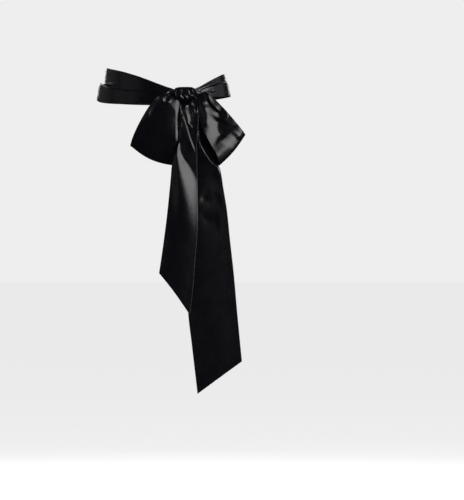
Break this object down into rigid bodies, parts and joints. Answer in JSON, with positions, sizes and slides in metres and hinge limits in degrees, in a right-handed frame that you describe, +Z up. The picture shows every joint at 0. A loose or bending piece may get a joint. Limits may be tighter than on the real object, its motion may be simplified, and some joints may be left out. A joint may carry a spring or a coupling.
{
  "type": "satin sash",
  "caption": "Narrow black satin sash worn round the waist and tied in front in a soft bow with long slanting tails.",
  "frame": {"origin": "middle of the waist that the sash goes round, level with the middle of the band at the sides", "axes": "+X to the right as seen from the front, +Y from the front to the back of the waist, +Z up"},
  "size_m": [0.3137, 0.376, 0.6858],
  "materials": {
    "waist_band_satin": "soft satin sheen",
    "knot_core_satin": "soft satin sheen",
    "knot_wrap_satin": "soft satin sheen",
    "loop_left_satin": "soft satin sheen",
    "loop_right_satin": "soft satin sheen",
    "tail_front_satin": "soft satin sheen",
    "tail_back_satin": "soft satin sheen"
  },
  "bodies": {
    "root": {"waist_band": "waist_band_satin", "knot_core": "knot_core_satin", "knot_wrap": "knot_wrap_satin", "loop_left": "loop_left_satin", "loop_right": "loop_right_satin", "tail_front": "tail_front_satin", "tail_back": "tail_back_satin"}
  },
  "joints": []
}
